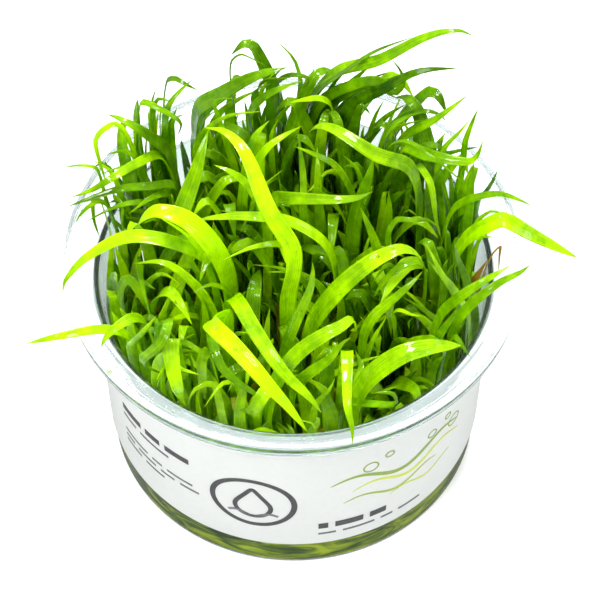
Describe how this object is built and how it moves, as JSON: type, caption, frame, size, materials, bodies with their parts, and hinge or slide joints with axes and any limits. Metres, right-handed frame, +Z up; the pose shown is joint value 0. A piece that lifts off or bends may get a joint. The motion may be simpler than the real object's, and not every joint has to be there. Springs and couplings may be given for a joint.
{
  "type": "culture cup of young water plants",
  "caption": "Clear round culture cup with a broad flanged rim and a printed band, packed with young strap-leaved water plants that stand in jelly and arch over the rim.",
  "frame": {"origin": "centre of the cup's flat base", "axes": "+Z up along the cup's axis; -Y is the side with the fullest view of the leaves and of the print"},
  "size_m": [0.117, 0.101, 0.092],
  "materials": {
    "clear plastic": "clear gloss",
    "label": "satin film",
    "jelly": "wet",
    "leaf": "moist, semi-gloss",
    "young leaf": "moist, semi-gloss"
  },
  "bodies": {
    "root": {"cup": "clear plastic", "gel": "jelly", "label": "label", "leaf_back_curl": "leaf", "leaf_back_fold": "leaf", "leaf_back_left_upright": "leaf", "leaf_back_right_tip": "leaf", "leaf_centre_bright": "leaf", "leaf_centre_flat": "leaf", "leaf_centre_left": "leaf", "leaf_centre_upright": "leaf", "leaf_far_left": "leaf", "leaf_front_bright": "leaf", "leaf_front_gloss": "leaf", "leaf_front_long": "leaf", "leaf_front_tip": "leaf", "leaf_front_upright": "leaf", "leaf_left_blunt": "leaf", "leaf_left_drop": "leaf", "leaf_left_fan": "leaf", "leaf_left_flat": "leaf", "leaf_left_hook": "leaf", "leaf_left_long_arch": "leaf", "leaf_left_wide": "leaf", "leaf_right_arch": "leaf", "leaf_right_flat": "leaf", "leaf_right_gloss": "leaf", "leaf_right_narrow": "leaf", "leaf_right_rim_high": "leaf", "leaf_right_rim_low": "leaf", "leaf_right_sweep": "leaf", "leaf_right_upright": "leaf", "leaf_right_wave": "leaf", "leaf_right_wide": "leaf", "leaf_spear": "leaf", "plantlet_back": "young leaf", "plantlet_back_centre": "young leaf", "plantlet_back_left": "young leaf", "plantlet_back_left_inner": "young leaf", "plantlet_back_right": "young leaf", "plantlet_back_right_rim": "young leaf", "plantlet_back_rim": "young leaf", "plantlet_centre": "young leaf", "plantlet_centre_low": "young leaf", "plantlet_front": "young leaf", "plantlet_front_left": "young leaf", "plantlet_front_middle": "young leaf", "plantlet_heart": "young leaf", "plantlet_left_edge": "young leaf", "plantlet_left_front": "young leaf", "plantlet_left_heart": "young leaf", "plantlet_left_middle": "young leaf", "plantlet_left_rim": "young leaf", "plantlet_middle": "young leaf", "plantlet_right": "young leaf", "plantlet_right_back": "young leaf", "plantlet_right_front": "young leaf", "plantlet_right_heart": "young leaf", "plantlet_right_low": "young leaf", "plantlet_right_middle": "young leaf"}
  },
  "joints": []
}
